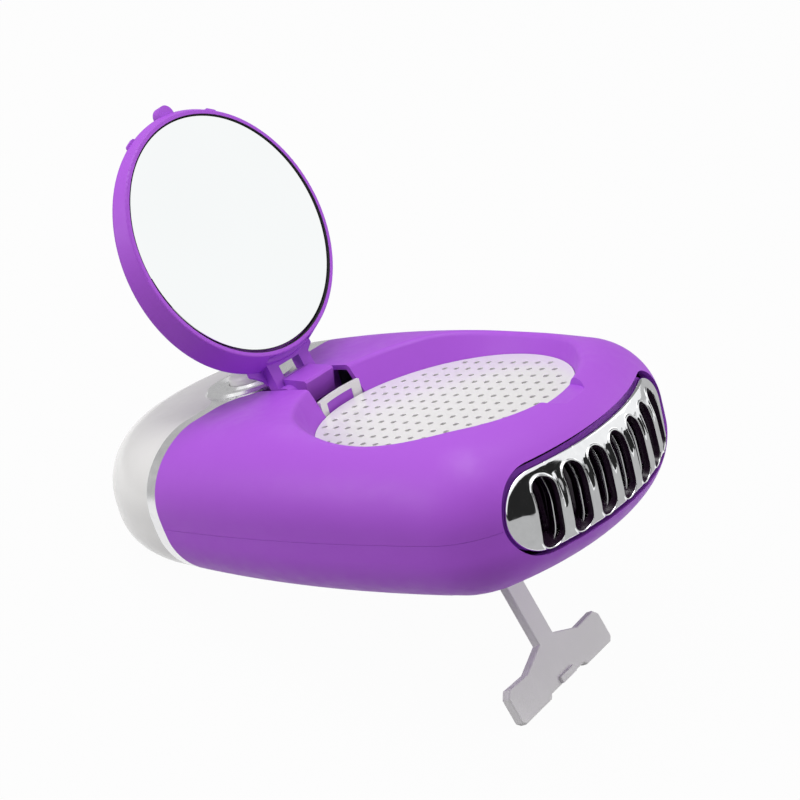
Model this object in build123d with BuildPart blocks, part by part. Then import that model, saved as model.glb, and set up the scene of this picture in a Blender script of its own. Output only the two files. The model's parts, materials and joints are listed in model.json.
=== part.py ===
"""Small hand-held fan for drying eyelash glue, standing on its fold-out foot with its mirror lid open.

Each piece is made in the body's own axes: X runs forward to the outlet grille, Y to the left, Z up out of
the intake, and the origin is the middle of the intake plate's top. At the end every piece is moved together
into the standing pose, nose up, with the floor at Z = 0.
"""
import os
from math import asin, atan2, cos, degrees, hypot, radians, sin, sqrt

from build123d import *

os.makedirs("parts", exist_ok=True)

# Body outline seen from above
FRONT_X = 34.6
FRONT_RADIUS = 48.5
CORNER_RADIUS = 14.6
SIDE_RADIUS = 304.0
WIDEST_X = -13.8
HALF_WIDTH = 33.6
REAR_X = -75.3

# Crown and underside seen from the side
CROWN_X = -21.3
CROWN_Z = 5.4
CROWN_RADIUS = 402.0
UNDERSIDE_X = 11.5
UNDERSIDE_Z = -23.05
UNDERSIDE_RADIUS = 1023.0
TOP_ROUNDING = 13.4
BOTTOM_ROUNDING = 9.2
WALL = 1.8
PARTING_Z = -10.6
SEAM_GAP = 0.05

# Slanted joint between the casing, the chrome trim and the rear cap
BAND_CENTRE = (-14.3, -6.0)
BAND_RADIUS = 29.9
BAND_WIDTH = 2.4
BAND_TOP_Z = 4.87
BAND_TOP_HALF_WIDTH = 20.0
FLARE_RADIUS = 7.0
COLLAR_RADIUS = 9.0

# Round recess in the top
PLATE_RADIUS = 23.3
PLATE_THICKNESS = 1.2
RECESS_RADIUS = 23.4
RECESS_RIM_RADIUS = 25.6
RECESS_RIM_Z = 5.0
RECESS_WALL = 1.6
RECESS_FOOT_Z = -2.6
RIM_ROUNDING = 1.1
SCOOP_HALF_WIDTH = 5.2
SCOOP_END_X = 28.6
SCOOP_FLOOR_Z = 1.3
NOTCH_HALF_WIDTH = 5.9
CHEEK_WIDTH = 2.5
CHEEK_WINDOW_REAR = -30.2
CHEEK_WINDOW_TOP = 4.4
CHEEK_EDGE = 1.0

# Lid and its hinge
HINGE_X = -31.4
HINGE_Z = 3.27
LID_OPEN_ANGLE = 105.9
MIRROR_OFFSET = 31.4
MIRROR_DROP = 2.07
LID_RADIUS = 23.6
LID_DRAFT = 0.44
LID_DEPTH = 3.5
LID_BACK_SLOPE = 0.06
MIRROR_RADIUS = 22.45
MIRROR_GAP = 0.4
MIRROR_SHIFT = 0.18
GLASS_THICKNESS = 1.0
PAD_THICKNESS = 0.3
LID_LIP = 0.3
KNOB_RADIUS = 1.75
KNOB_REACH = 24.3
ARM_HALF_WIDTH = 5.6
ARM_FRONT = 2.6
ARM_BACK = 4.6
BUMP_ANGLE = 26.0
WINDOW_NEAR = -25.4
WINDOW_FAR = -27.8
WINDOW_HALF_WIDTH = 2.9
BLOCK_HALF_WIDTH = 3.95
BARREL_RADIUS = 2.3
BARREL_HALF_WIDTH = 5.7
LID_PIN_RADIUS = 0.8
RUNNING_FIT = 0.05
LID_PIN_HALF_LENGTH = 7.9

# Outlet grille
GRILLE_HALF_WIDTH = 25.3
GRILLE_HALF_HEIGHT = 7.2
GRILLE_Z = -10.2
GRILLE_THICKNESS = 1.6
GRILLE_GAP = 0.3
GRILLE_TOP_GAP = 0.8
SLOT_COUNT = 7
SLOT_PITCH = 6.2
SLOT_WIDTH = 4.1
SLOT_HEIGHT = 12.0
SLOT_Z = -10.8
SLOT_FAN = 0.05

# Fold-out stand
STAND_X = -0.5
STAND_Z = -21.0
STAND_ANGLE = 70.56
STAND_LENGTH = 35.45
LEG_HALF_WIDTH = 2.4
LEG_FRONT = 0.85
LEG_BACK = -1.0
FOOT_TOP = 28.85
FOOT_HALF_WIDTH = 15.5
STAND_EYE_RADIUS = 1.7
STAND_PIN_RADIUS = 0.6
STAND_PIN_HALF_LENGTH = 4.7
POCKET_GAP = 0.4
POCKET_CEILING_Z = -19.0
POCKET_WALL = 1.2
THUMB_RADIUS = 3.0
THUMB_SETBACK = 0.8

# Power button and the board under it
BUTTON_X = -44.7
BUTTON_RADIUS = 4.1
BUTTON_HEIGHT = 2.7
BUTTON_DOME_RADIUS = 14.0
BOARD_TOP = -8.0
BOARD_THICKNESS = 1.0
BOARD_X = -9.0
BOARD_LENGTH = 33.0
BOARD_WIDTH = 22.0
BOARD_SCREWS = [(-22.0, 8.0), (-22.0, -8.0)]
SWITCH_TOP = -5.0
FLANGE_TOP = -0.9
COLLAR_RISE = 0.75
LIP_REACH = 3.0
BATTERY_X = -7.0
BATTERY_LENGTH = 24.0
BATTERY_WIDTH = 26.0
BATTERY_HEIGHT = 6.5
USB_X = -25.9
USB_WIDTH = 7.6
USB_HEIGHT = 2.8
USB_Z = -11.8

# Blower
IMPELLER_RADIUS = 17.0
IMPELLER_TOP = -5.9
IMPELLER_BOTTOM = -10.8
BLADE_COUNT = 24
SHAFT_RADIUS = 0.75
HOUSING_RADIUS = 20.6
HOUSING_TOP = -4.1
HOUSING_FLOOR = -11.6
HOUSING_WALL = 1.2
INLET_RADIUS = 14.2
MOTOR_RADIUS = 8.0
MOTOR_BOTTOM = -17.2
BUSH_RADIUS = 2.4
DUCT_REAR_X = 13.0
DUCT_FRONT_X = 34.0
DUCT_REAR_HALF = 15.6
DUCT_FRONT_HALF = 27.5
DUCT_TOP = -4.2
DUCT_REAR_BOTTOM = -12.8
DUCT_FRONT_BOTTOM = -18.6

# Perforation of the intake plate
HOLE_DIAMETER = 1.1
HOLE_PITCH = 2.815
ROW_PITCH = 3.033
ROW_SHIFT = 0.228
ROW_TURN = -2.76
FIRST_HOLE = (-5.63, 1.18)
HOLE_MARGIN = 1.3

# White tray under the plate
TRAY_BOTTOM = -4.0
TRAY_BORE = 21.4
BRACKET_RADIUS = 23.9
BRACKET_HALF_WIDTH = 5.8
BRACKET_TOP = 2.7
PAD_HALF_WIDTH = 3.7
PAD_TOP = 1.7

# Screws: where they stand
CASE_SCREWS = [(16, 26), (16, -26), (-30, 24), (-30, -24)]
BLOWER_EARS = [75, 140, 220, 285]
EAR_RADIUS = 28.6
EAR_POST_RADIUS = 2.2
POST_RADIUS = 2.6
SCREW_RADIUS = 0.95
SCREW_HEAD_RADIUS = 1.9
SCREW_SEAT_Z = -14.0
SMALL_SCREW_RADIUS = 0.8

# Bare label panel in the underside
LABEL_X = 15.5
LABEL_Z = -22.65
LABEL_LENGTH = 20.0
LABEL_WIDTH = 16.0

EDGE_ROUNDING = 0.35


# Outline arcs and where they touch

front_centre = (FRONT_X - FRONT_RADIUS, 0)
side_centre = (WIDEST_X, HALF_WIDTH - SIDE_RADIUS)
rear_run = WIDEST_X - REAR_X
rear_radius = (SIDE_RADIUS**2 - rear_run**2 - side_centre[1]**2) / (2 * (SIDE_RADIUS - rear_run))
rear_centre = (REAR_X + rear_radius, 0)


def circles_meet(centre_a, radius_a, centre_b, radius_b):
    """The upper of the two points where two circles cross."""
    dx = centre_b[0] - centre_a[0]
    dy = centre_b[1] - centre_a[1]
    apart = hypot(dx, dy)
    along = (radius_a**2 - radius_b**2 + apart**2) / (2 * apart)
    across = sqrt(radius_a**2 - along**2)
    first = (centre_a[0] + (along * dx - across * dy) / apart, centre_a[1] + (along * dy + across * dx) / apart)
    second = (centre_a[0] + (along * dx + across * dy) / apart, centre_a[1] + (along * dy - across * dx) / apart)
    return max(first, second, key=lambda point: point[1])


def direction(start, end):
    """The angle of the line from one point to another, in degrees."""
    return degrees(atan2(end[1] - start[1], end[0] - start[0]))


corner_centre = circles_meet(
    front_centre, FRONT_RADIUS - CORNER_RADIUS, side_centre, SIDE_RADIUS - CORNER_RADIUS
)
front_end = direction(front_centre, corner_centre)
corner_end = direction(side_centre, corner_centre)
side_end = direction(side_centre, rear_centre)


def body_form(inset):
    """The rounded teardrop of the body, drawn in all over by a distance."""
    with BuildPart() as form:
        with BuildSketch(Plane.XY.offset(-40)):
            with BuildLine():
                CenterArc(front_centre, FRONT_RADIUS - inset, 0, front_end)
                CenterArc(corner_centre, CORNER_RADIUS - inset, front_end, corner_end - front_end)
                CenterArc(side_centre, SIDE_RADIUS - inset, corner_end, side_end - corner_end)
                CenterArc(rear_centre, rear_radius - inset, side_end, 180 - side_end)
                mirror(about=Plane.XZ)
            make_face()
        extrude(amount=60)
        with BuildSketch(Plane.XZ):
            with Locations((CROWN_X, CROWN_Z - CROWN_RADIUS)):
                Circle(CROWN_RADIUS - inset)
            with Locations((UNDERSIDE_X, UNDERSIDE_Z + UNDERSIDE_RADIUS)):
                Circle(UNDERSIDE_RADIUS - inset, mode=Mode.INTERSECT)
        extrude(amount=50, both=True, mode=Mode.INTERSECT)
        fillet(form.faces().sort_by(Axis.Z)[-1].edges(), TOP_ROUNDING - inset)
        fillet(form.faces().sort_by(Axis.Z)[0].edges(), BOTTOM_ROUNDING - inset)
    return form.part


body_outside = body_form(0)
body_inside = body_form(WALL)


def behind_band(setback):
    """Everything behind the slanted joint round the body, moved back by a distance."""
    with BuildPart() as zone:
        with BuildSketch(Plane.XZ):
            with Locations((-60, -10)):
                Rectangle(80, 60)
            with Locations(BAND_CENTRE):
                Circle(BAND_RADIUS + setback, mode=Mode.SUBTRACT)
            with Locations((0, -10)):
                Rectangle(60, 80, mode=Mode.SUBTRACT)
        extrude(amount=45, both=True)
    return zone.part


def band_top_x(setback):
    """Where the slanted joint, moved back by a distance, comes out through the crown."""
    return BAND_CENTRE[0] - sqrt((BAND_RADIUS + setback) ** 2 - (BAND_TOP_Z - BAND_CENTRE[1]) ** 2)


def collar_zone(radius, near_x, far_x):
    """An upright prism over the button: a circle that flares into a straight band across the top."""
    with BuildPart() as zone:
        with BuildSketch(Plane.XY) as plan:
            with Locations((BUTTON_X, 0)):
                Circle(radius)
            with Locations(((near_x + far_x) / 2, 0)):
                Rectangle(abs(near_x - far_x), 2 * BAND_TOP_HALF_WIDTH)
            corners = plan.vertices().filter_by(lambda v: abs(v.X - near_x) < 0.01 and abs(v.Y) < 2 * radius)
            fillet(corners, FLARE_RADIUS)
        extrude(amount=14)
    return zone.part


# The rear of the body, behind the joint with the casing
with BuildPart() as rear_zone:
    add(behind_band(0))
    add(collar_zone(COLLAR_RADIUS + 0.4, band_top_x(0), -60))

# The part of it that the white cap fills
with BuildPart() as cap_zone:
    add(behind_band(BAND_WIDTH))
    add(collar_zone(COLLAR_RADIUS, band_top_x(BAND_WIDTH), -20), mode=Mode.SUBTRACT)


draft = (RECESS_RIM_RADIUS - RECESS_RADIUS) / RECESS_RIM_Z


def cheek_edge_x(z):
    """Where the window in a cheek of the hinge notch ends at a height, behind the corner with the recess."""
    return -sqrt((RECESS_RADIUS + draft * z) ** 2 - NOTCH_HALF_WIDTH**2) - CHEEK_EDGE


def recess_cone(offset, low, high):
    """The recess as a solid plug, straight up to the plate and then drafted outward, grown by an offset."""
    with BuildPart() as plug:
        with BuildSketch(Plane.XZ):
            with BuildLine():
                Polyline(
                    (0, low),
                    (RECESS_RADIUS + offset, low),
                    (RECESS_RADIUS + offset, 0),
                    (RECESS_RADIUS + offset + draft * high, high),
                    (0, high),
                    close=True,
                )
            make_face()
        revolve(axis=Axis.Z)
    return plug.part


def grille_prism(offset, near, far, lift=0.0):
    """The grille's stadium outline, grown by an offset, lifted, and drawn out forwards between two distances."""
    with BuildPart() as prism:
        with BuildSketch(Plane.YZ.offset(near)):
            with Locations((0, GRILLE_Z + lift)):
                SlotOverall(2 * (GRILLE_HALF_WIDTH + offset), 2 * (GRILLE_HALF_HEIGHT + offset))
        extrude(amount=far - near)
    return prism.part


grille_opening = grille_prism(
    (GRILLE_TOP_GAP + GRILLE_GAP) / 2, 18, 60, lift=(GRILLE_TOP_GAP - GRILLE_GAP) / 2
)


def hollow_around(kept):
    """The inside of the body, less the ribs, posts and walls that stand in it."""
    with BuildPart() as hollow:
        add(body_inside)
        add(kept, mode=Mode.SUBTRACT)
    return hollow.part


def polar_places(radius, angles):
    """Points on a circle round the origin."""
    return [(radius * cos(radians(angle)), radius * sin(radians(angle))) for angle in angles]


def across(x, z):
    """A plane square to the Y axis through a point of the mid plane."""
    return Plane((x, 0, z), x_dir=(1, 0, 0), z_dir=(0, 1, 0))


def pin(radius, length, x, z):
    """A plain steel pin across the body, with broken edges."""
    with BuildPart() as rod:
        with Locations(across(x, z)):
            Cylinder(radius, length)
        chamfer(rod.edges().filter_by(GeomType.CIRCLE), 0.15)
    return rod


# Upper shell: the purple casing above the parting line

with BuildPart() as upper_ribs:
    add(recess_cone(RECESS_WALL, RECESS_FOOT_Z, 9))
    with BuildSketch(Plane.XY.offset(RECESS_FOOT_Z)):
        for side in (1, -1):
            with Locations((HINGE_X + 2.5, side * (NOTCH_HALF_WIDTH + CHEEK_WIDTH / 2))):
                Rectangle(14, CHEEK_WIDTH)
    extrude(amount=12)
    with BuildSketch(Plane.XY.offset(PARTING_Z + SEAM_GAP / 2)):
        with Locations(CASE_SCREWS):
            Circle(POST_RADIUS)
    extrude(amount=18)
    with BuildSketch(Plane.XY.offset(HOUSING_TOP)):
        with Locations(polar_places(EAR_RADIUS, BLOWER_EARS)):
            Circle(EAR_POST_RADIUS)
    extrude(amount=12)

with BuildPart() as upper_shell:
    add(body_outside)
    add(recess_cone(0, RECESS_FOOT_Z - 1, 12), mode=Mode.SUBTRACT)
    mouth = upper_shell.edges().filter_by(
        lambda e: (e @ 0.3).Z > 1 and abs(hypot((e @ 0.3).X, (e @ 0.3).Y) - RECESS_RIM_RADIUS) < 1
    )
    fillet(mouth, RIM_ROUNDING)
    add(hollow_around(upper_ribs.part), mode=Mode.SUBTRACT)
    split(bisect_by=Plane.XY.offset(PARTING_Z + SEAM_GAP / 2), keep=Keep.TOP)
    add(rear_zone.part, mode=Mode.SUBTRACT)
    # finger scoop in the front of the rim
    with BuildSketch(Plane.XY.offset(SCOOP_FLOOR_Z)):
        with Locations((SCOOP_END_X - SCOOP_HALF_WIDTH, 0)):
            Circle(SCOOP_HALF_WIDTH)
    extrude(amount=8, taper=-12, mode=Mode.SUBTRACT)
    # hinge notch, open back to the chrome collar
    with BuildSketch(Plane.XY.offset(RECESS_FOOT_Z - 1)):
        with Locations((HINGE_X, 0)):
            Rectangle(18, 2 * NOTCH_HALF_WIDTH)
    extrude(amount=15, mode=Mode.SUBTRACT)
    # windows through the cheeks of the notch, into the hollow of the casing, behind a narrow edge
    with BuildSketch(Plane.XZ):
        Polygon(
            (CHEEK_WINDOW_REAR, RECESS_FOOT_Z - 1),
            (cheek_edge_x(0), RECESS_FOOT_Z - 1),
            (cheek_edge_x(0), 0),
            (cheek_edge_x(CHEEK_WINDOW_TOP), CHEEK_WINDOW_TOP),
            (CHEEK_WINDOW_REAR, CHEEK_WINDOW_TOP),
            align=None,
        )
    extrude(amount=NOTCH_HALF_WIDTH + CHEEK_WIDTH + 0.1, both=True, mode=Mode.SUBTRACT)
    with Locations(across(HINGE_X, HINGE_Z)):
        Cylinder(LID_PIN_RADIUS, 2 * LID_PIN_HALF_LENGTH, mode=Mode.SUBTRACT)
    add(grille_opening, mode=Mode.SUBTRACT)
    with Locations([(x, y, PARTING_Z) for x, y in CASE_SCREWS]):
        Cylinder(SCREW_RADIUS + RUNNING_FIT, 16, mode=Mode.SUBTRACT)
    with Locations([(x, y, HOUSING_TOP) for x, y in polar_places(EAR_RADIUS, BLOWER_EARS)]):
        Cylinder(SMALL_SCREW_RADIUS + RUNNING_FIT, 9, mode=Mode.SUBTRACT)

# Fold-out stand, drawn on the leg's own plane: X down the leg, Z out of its front face

slope = radians(STAND_ANGLE)
leg_plane = Plane(
    (STAND_X, 0, STAND_Z), x_dir=(cos(slope), 0, -sin(slope)), z_dir=(sin(slope), 0, cos(slope))
)


def draw_leg(grow):
    """The T-shaped leg and foot seen square on, grown by a distance, drawn into the open sketch."""
    half = [
        (0, LEG_HALF_WIDTH + grow),
        (FOOT_TOP - 2.4 - grow, LEG_HALF_WIDTH + grow),
        (FOOT_TOP - grow, LEG_HALF_WIDTH + 6.2),
        (FOOT_TOP - 0.2 - grow, FOOT_HALF_WIDTH - 1.2),
        (FOOT_TOP + 1.0 - grow, FOOT_HALF_WIDTH + grow),
        (STAND_LENGTH - 0.8, FOOT_HALF_WIDTH + grow),
        (STAND_LENGTH + grow, FOOT_HALF_WIDTH - 0.8),
        (STAND_LENGTH + grow, 6.2),
        (STAND_LENGTH - 0.7 + grow, 5.5),
    ]
    Polygon(*half, *[(x, -y) for x, y in reversed(half)], align=None)


with BuildPart() as stand_leg:
    with BuildSketch(leg_plane.offset(LEG_BACK)):
        draw_leg(0)
    extrude(amount=LEG_FRONT - LEG_BACK)
    fillet(stand_leg.faces().filter_by(leg_plane).edges(), EDGE_ROUNDING)
    # catch bump that clicks into the end of the pocket
    with BuildSketch(leg_plane.offset(LEG_FRONT - 0.2)):
        with Locations((STAND_LENGTH - 1.5, 0)):
            Rectangle(1.2, 4.4)
    extrude(amount=0.8)
    with Locations(across(STAND_X, STAND_Z)):
        Cylinder(STAND_EYE_RADIUS, 2 * LEG_HALF_WIDTH)
        Cylinder(STAND_PIN_RADIUS + RUNNING_FIT, 2 * LEG_HALF_WIDTH + 1, mode=Mode.SUBTRACT)

stand_pin = pin(STAND_PIN_RADIUS, 2 * STAND_PIN_HALF_LENGTH, STAND_X, STAND_Z)

# Lower shell: the purple casing below the parting line, with the pocket of the stand

under_plane = Plane((STAND_X, 0, UNDERSIDE_Z - 2), x_dir=(-1, 0, 0), z_dir=(0, 0, 1))
pocket_depth = POCKET_CEILING_Z - under_plane.origin.Z

with BuildPart() as pocket:
    with BuildSketch(under_plane):
        draw_leg(POCKET_GAP)
        with Locations((-STAND_EYE_RADIUS / 2, 0)):
            Rectangle(STAND_EYE_RADIUS + 0.3, 2 * (LEG_HALF_WIDTH + POCKET_GAP))
        with Locations((STAND_LENGTH - THUMB_SETBACK, 0)):
            Circle(THUMB_RADIUS)
    extrude(amount=pocket_depth)

with BuildPart() as lower_ribs:
    with BuildSketch(under_plane):
        draw_leg(POCKET_GAP + POCKET_WALL)
        with Locations((0.2, 0)):
            Rectangle(6.4, 2 * STAND_PIN_HALF_LENGTH + 1.6)
        with Locations((STAND_LENGTH - THUMB_SETBACK, 0)):
            Circle(THUMB_RADIUS + POCKET_WALL)
    extrude(amount=pocket_depth + POCKET_WALL)
    with BuildSketch(Plane.XY.offset(UNDERSIDE_Z - 2)):
        with Locations(CASE_SCREWS):
            Circle(POST_RADIUS + 0.6)
    extrude(amount=PARTING_Z - UNDERSIDE_Z + 2)

with BuildPart() as lower_shell:
    add(body_outside)
    add(hollow_around(lower_ribs.part), mode=Mode.SUBTRACT)
    split(bisect_by=Plane.XY.offset(PARTING_Z - SEAM_GAP / 2), keep=Keep.BOTTOM)
    add(rear_zone.part, mode=Mode.SUBTRACT)
    add(pocket.part, mode=Mode.SUBTRACT)
    add(grille_opening, mode=Mode.SUBTRACT)
    with Locations(across(STAND_X, STAND_Z)):
        Cylinder(STAND_PIN_RADIUS, 2 * STAND_PIN_HALF_LENGTH, mode=Mode.SUBTRACT)
    # deep counterbores that take the screws from below
    with Locations([(x, y, (SCREW_SEAT_Z + UNDERSIDE_Z) / 2 - 1) for x, y in CASE_SCREWS]):
        Cylinder(SCREW_HEAD_RADIUS + 0.3, SCREW_SEAT_Z - UNDERSIDE_Z + 2, mode=Mode.SUBTRACT)
    with Locations([(x, y, PARTING_Z) for x, y in CASE_SCREWS]):
        Cylinder(SCREW_RADIUS + 0.2, 16, mode=Mode.SUBTRACT)
    # shallow flat panel for a label
    with Locations((LABEL_X, 0, LABEL_Z - 2)):
        Box(LABEL_LENGTH, LABEL_WIDTH, 4, mode=Mode.SUBTRACT)

# Rear cap and chrome trim

button_plane = Plane(
    (BUTTON_X, 0, CROWN_Z - (BUTTON_X - CROWN_X) ** 2 / (2 * CROWN_RADIUS)),
    x_dir=(CROWN_RADIUS, 0, CROWN_X - BUTTON_X),
    z_dir=(BUTTON_X - CROWN_X, 0, CROWN_RADIUS),
)


def turned(points):
    """A solid turned about the button's axis from a closed profile of radius and height."""
    with BuildPart() as solid:
        with BuildSketch(Plane.XZ):
            Polygon(*points, align=None)
        revolve(axis=Axis.Z)
    return button_plane * solid.part


def board_block(length, width, height, x, y, z):
    """A block in the button's own axes, by its middle in plan and its lowest face."""
    return button_plane * Pos(x, y, z + height / 2) * Box(length, width, height, mode=Mode.PRIVATE)


with BuildPart() as socket_mouth:
    add(board_block(20, USB_WIDTH + 0.4, USB_HEIGHT + 0.4, USB_X - 6, 0, USB_Z - 0.2))
    fillet(socket_mouth.edges().filter_by(Axis(button_plane.origin, button_plane.x_dir)), 1.4)

with BuildPart() as lip_root:
    add(body_form(WALL - 0.3))
    add(behind_band(BAND_WIDTH + 0.3), mode=Mode.INTERSECT)
    add(cap_zone.part, mode=Mode.INTERSECT)

with BuildPart() as cap_lip:
    add(body_form(WALL + 0.1))
    add(behind_band(-LIP_REACH), mode=Mode.INTERSECT)
    add(lip_root.part)
    add(behind_band(BAND_WIDTH + 2), mode=Mode.SUBTRACT)
    add(body_form(WALL + 1.1), mode=Mode.SUBTRACT)
    # room for the end of the stand's pocket
    with Locations((STAND_X - STAND_LENGTH, 0, UNDERSIDE_Z)):
        Box(14, 2 * FOOT_HALF_WIDTH + 6, 14, mode=Mode.SUBTRACT)

with BuildPart() as rear_cap:
    add(body_outside)
    add(body_inside, mode=Mode.SUBTRACT)
    add(board_block(5, 5, 20, *BOARD_SCREWS[0], BOARD_TOP) & body_outside)
    add(board_block(5, 5, 20, *BOARD_SCREWS[1], BOARD_TOP) & body_outside)
    add(cap_zone.part, mode=Mode.INTERSECT)
    add(cap_lip.part)
    add(turned([(0, -5), (BUTTON_RADIUS + 2.4, -5), (BUTTON_RADIUS + 2.4, 3), (0, 3)]), mode=Mode.SUBTRACT)
    add(socket_mouth.part, mode=Mode.SUBTRACT)
    with Locations([button_plane * Pos(x, y, BOARD_TOP) for x, y in BOARD_SCREWS]):
        Cylinder(SMALL_SCREW_RADIUS + RUNNING_FIT, 8, mode=Mode.SUBTRACT)

with BuildPart() as chrome_trim:
    add(body_outside)
    add(body_inside, mode=Mode.SUBTRACT)
    add(rear_zone.part, mode=Mode.INTERSECT)
    add(cap_zone.part, mode=Mode.SUBTRACT)
    # raised round collar with a dished top
    add(
        turned([
            (3.0, -WALL),
            (COLLAR_RADIUS, -WALL),
            (COLLAR_RADIUS, 0.25),
            (COLLAR_RADIUS - 0.5, COLLAR_RISE),
            (COLLAR_RADIUS - 1.2, COLLAR_RISE),
            (COLLAR_RADIUS - 2.4, COLLAR_RISE - 0.45),
            (BUTTON_RADIUS + 1.3, COLLAR_RISE - 0.4),
            (BUTTON_RADIUS + 0.7, COLLAR_RISE),
            (3.0, COLLAR_RISE),
        ])
    )
    add(turned([(0, -4), (BUTTON_RADIUS + 0.15, -4), (BUTTON_RADIUS + 0.15, 4), (0, 4)]), mode=Mode.SUBTRACT)
    add(
        turned([(0, -4), (BUTTON_RADIUS + 1.6, -4), (BUTTON_RADIUS + 1.6, FLANGE_TOP), (0, FLANGE_TOP)]),
        mode=Mode.SUBTRACT,
    )

# Power button, its switch and the board

dome_angle = asin(BUTTON_RADIUS / BUTTON_DOME_RADIUS)
dome_centre_z = BUTTON_HEIGHT - BUTTON_DOME_RADIUS
dome_edge_z = dome_centre_z + BUTTON_DOME_RADIUS * cos(dome_angle)
flange_radius = BUTTON_RADIUS + 1.1

with BuildPart() as button_cap:
    with BuildSketch(Plane.XZ) as profile:
        with BuildLine():
            Polyline(
                (0, BUTTON_HEIGHT),
                (0, FLANGE_TOP - 1.0),
                (flange_radius, FLANGE_TOP - 1.0),
                (flange_radius, FLANGE_TOP - 0.03),
                (BUTTON_RADIUS, FLANGE_TOP - 0.03),
                (BUTTON_RADIUS, dome_edge_z),
            )
            ThreePointArc(
                (BUTTON_RADIUS, dome_edge_z),
                (
                    BUTTON_DOME_RADIUS * sin(dome_angle / 2),
                    dome_centre_z + BUTTON_DOME_RADIUS * cos(dome_angle / 2),
                ),
                (0, BUTTON_HEIGHT),
            )
        make_face()
    revolve(axis=Axis.Z)
    fillet(button_cap.edges().filter_by(lambda e: e.length > 20 and (e @ 0).Z > 1), 0.8)

with BuildPart() as power_button:
    add(button_plane * button_cap.part)

with BuildPart() as switch_plunger:
    add(turned([(0, SWITCH_TOP - 0.8), (1.1, SWITCH_TOP - 0.8), (1.1, FLANGE_TOP - 1.0), (0, FLANGE_TOP - 1.0)]))

with BuildPart() as tact_switch:
    add(board_block(6, 6, SWITCH_TOP - BOARD_TOP, 0, 0, BOARD_TOP))
    add(turned([(0, SWITCH_TOP - 1.5), (1.2, SWITCH_TOP - 1.5), (1.2, 0), (0, 0)]), mode=Mode.SUBTRACT)

with BuildPart() as circuit_board:
    add(board_block(BOARD_LENGTH, BOARD_WIDTH, BOARD_THICKNESS, BOARD_X, 0, BOARD_TOP - BOARD_THICKNESS))
    with Locations([button_plane * Pos(x, y, BOARD_TOP) for x, y in BOARD_SCREWS]):
        Cylinder(SMALL_SCREW_RADIUS + 0.2, 4, mode=Mode.SUBTRACT)

with BuildPart() as board_chips:
    add(board_block(5, 4, 1.5, -8, 2, BOARD_TOP))
    add(board_block(3, 3, 1.1, -9, -5, BOARD_TOP))
    for row in range(4):
        add(board_block(1.6, 0.9, 0.7, -21, 4.5 - 3 * row, BOARD_TOP))

with BuildPart() as board_screws:
    for x, y in BOARD_SCREWS:
        with Locations(button_plane * Pos(x, y, BOARD_TOP - BOARD_THICKNESS)):
            Cylinder(1.6, 0.9, align=(Align.CENTER, Align.CENTER, Align.MAX))
            Cylinder(SMALL_SCREW_RADIUS, 4.2, align=(Align.CENTER, Align.CENTER, Align.MIN))

with BuildPart() as usb_socket:
    add(board_block(6, USB_WIDTH, USB_HEIGHT, USB_X, 0, USB_Z))
    fillet(usb_socket.edges().filter_by(Axis(button_plane.origin, button_plane.x_dir)), 1.2)
    add(board_block(6, USB_WIDTH - 0.8, USB_HEIGHT - 0.8, USB_X - 1, 0, USB_Z + 0.4), mode=Mode.SUBTRACT)
    add(board_block(4.6, USB_WIDTH - 3, 0.7, USB_X + 0.4, 0, USB_Z + USB_HEIGHT / 2 - 0.35))

with BuildPart() as battery_tape:
    add(board_block(18, 16, 0.8, BATTERY_X, 0, BOARD_TOP - BOARD_THICKNESS - 0.8))

with BuildPart() as battery:
    add(board_block(BATTERY_LENGTH, BATTERY_WIDTH, BATTERY_HEIGHT, BATTERY_X, 0,
                    BOARD_TOP - BOARD_THICKNESS - 0.8 - BATTERY_HEIGHT))
    fillet(battery.edges().filter_by(Axis(button_plane.origin, button_plane.x_dir)), 1.5)

# Intake: perforated plate, the white tray that carries it and the catch pad


def hole_places():
    """The slanted rows of holes in the plate, as far out as its plain rim."""
    turn = radians(ROW_TURN)
    places = []
    for row in range(-9, 10):
        for step in range(-10, 11):
            along = step * HOLE_PITCH + row * ROW_SHIFT
            down = -row * ROW_PITCH
            x = FIRST_HOLE[0] + along * cos(turn) - down * sin(turn)
            y = FIRST_HOLE[1] + along * sin(turn) + down * cos(turn)
            if hypot(x, y) < PLATE_RADIUS - HOLE_MARGIN:
                places.append((x, y))
    return places


with BuildPart() as intake_plate:
    with BuildSketch(Plane.XY.offset(-PLATE_THICKNESS)):
        Circle(PLATE_RADIUS)
        with Locations(hole_places()):
            Circle(HOLE_DIAMETER / 2, mode=Mode.SUBTRACT)
    extrude(amount=PLATE_THICKNESS)

with BuildPart() as intake_tray:
    with BuildSketch(Plane.XY.offset(TRAY_BOTTOM)):
        Circle(RECESS_RADIUS + RECESS_WALL)
        Circle(TRAY_BORE, mode=Mode.SUBTRACT)
    extrude(amount=RECESS_FOOT_Z - TRAY_BOTTOM)
    with BuildSketch(Plane.XY.offset(RECESS_FOOT_Z)):
        Circle(PLATE_RADIUS - 0.1)
        Circle(TRAY_BORE, mode=Mode.SUBTRACT)
    extrude(amount=-PLATE_THICKNESS - RECESS_FOOT_Z)
    # bracket that stands up in the hinge notch
    with BuildSketch(Plane.XY.offset(RECESS_FOOT_Z)):
        Circle(BRACKET_RADIUS + 0.8)
        Circle(BRACKET_RADIUS, mode=Mode.SUBTRACT)
        with Locations((-BRACKET_RADIUS, 0)):
            Rectangle(6, 2 * BRACKET_HALF_WIDTH, mode=Mode.INTERSECT)
    extrude(amount=BRACKET_TOP - RECESS_FOOT_Z)
    with Locations((-BRACKET_RADIUS, 0, PAD_TOP / 2 - 0.4)):
        Box(6, 2 * PAD_HALF_WIDTH, PAD_TOP + 0.8, mode=Mode.SUBTRACT)

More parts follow.
